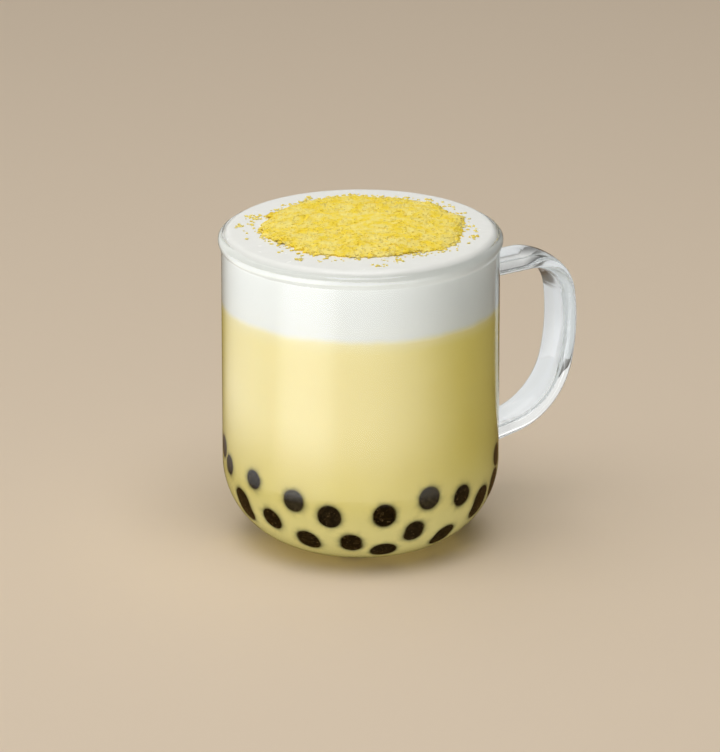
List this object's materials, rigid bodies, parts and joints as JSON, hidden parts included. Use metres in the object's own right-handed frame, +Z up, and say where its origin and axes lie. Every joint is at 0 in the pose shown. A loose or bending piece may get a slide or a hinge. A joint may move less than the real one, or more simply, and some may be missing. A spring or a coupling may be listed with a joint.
{
  "type": "sweet potato latte in a glass mug",
  "caption": "Glass mug with a flat strap handle, filled to the brim with yellow latte, a layer of milk foam and strewn cake crumbs.",
  "frame": {"origin": "centre of the base ring, on the mug's axis, in the plane the mug stands on", "axes": "+Z up along the mug's axis, +X from the axis towards the handle, +Y across the handle"},
  "size_m": [0.1184, 0.0868, 0.1025],
  "materials": {
    "clear_glass": "clear polished borosilicate glass",
    "latte": "opaque milky yellow drink with dark tapioca pearls against the glass",
    "milk_foam": "smooth wet white milk foam",
    "cake_crumbs": "dry bright yellow cake crumbs"
  },
  "bodies": {
    "root": {"glass_mug": "clear_glass", "latte": "latte", "milk_foam": "milk_foam", "crumb_heap": "cake_crumbs"}
  },
  "joints": []
}
